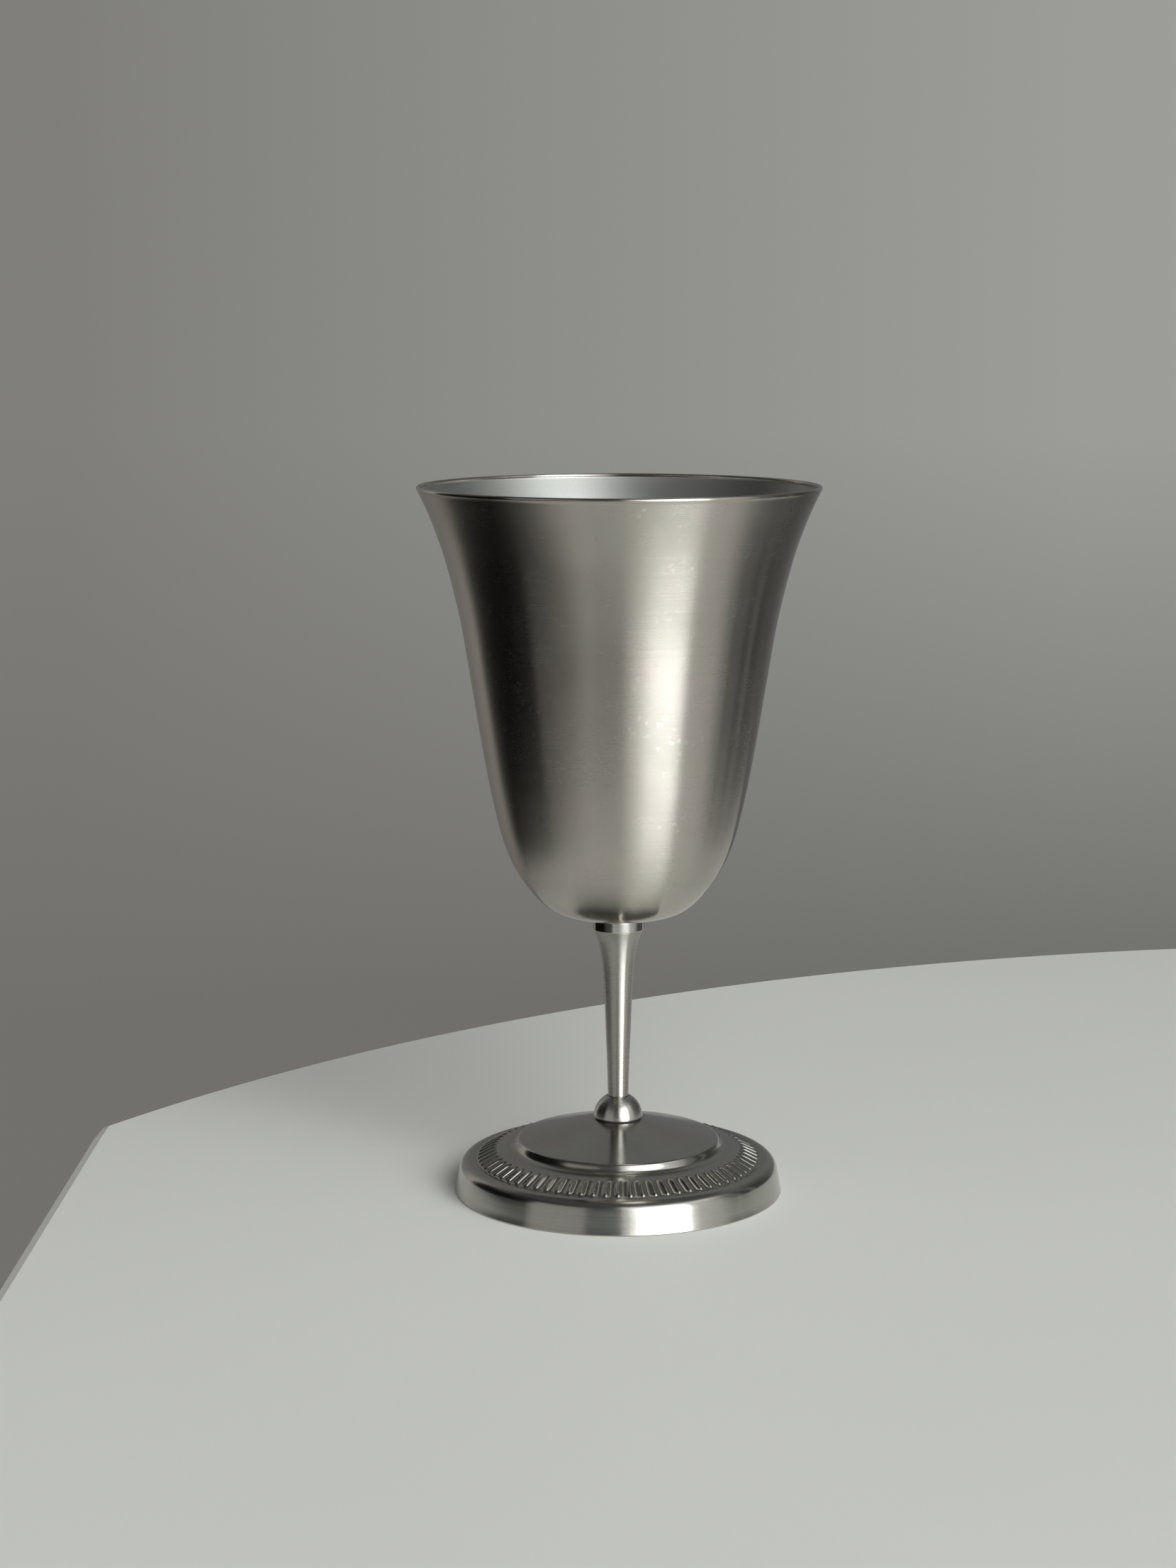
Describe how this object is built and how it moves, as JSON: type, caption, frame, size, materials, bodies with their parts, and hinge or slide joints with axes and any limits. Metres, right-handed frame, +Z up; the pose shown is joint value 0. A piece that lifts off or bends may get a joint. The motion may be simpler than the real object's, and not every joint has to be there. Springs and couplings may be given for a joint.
{
  "type": "communion chalice",
  "caption": "Footed metal goblet: spun bell-shaped bowl with a flared lip on a slim turned stem, half-ball knop and a round pressed foot with radial ribs.",
  "frame": {"origin": "centre of the foot on the plane it stands on", "axes": "+Z up along the axis of the stem and bowl; the shape is round, so +X and +Y are equivalent"},
  "size_m": [0.0922, 0.0922, 0.165],
  "materials": {
    "bowl_steel": "satin, fine brushing round the axis, warm grey",
    "stem_steel": "turned, semi-bright",
    "foot_steel": "satin, brushed round the axis",
    "polished_steel": "polished",
    "hardware_steel": "plain machined",
    "gasket_fibre": "matt, dark"
  },
  "bodies": {
    "root": {"bowl": "bowl_steel", "bowl_stud": "hardware_steel", "collar": "polished_steel", "stem": "stem_steel", "knop": "polished_steel", "seat_gasket": "gasket_fibre", "foot": "foot_steel", "backing_disc": "hardware_steel", "lock_washer": "hardware_steel", "foot_nut": "hardware_steel"}
  },
  "joints": []
}
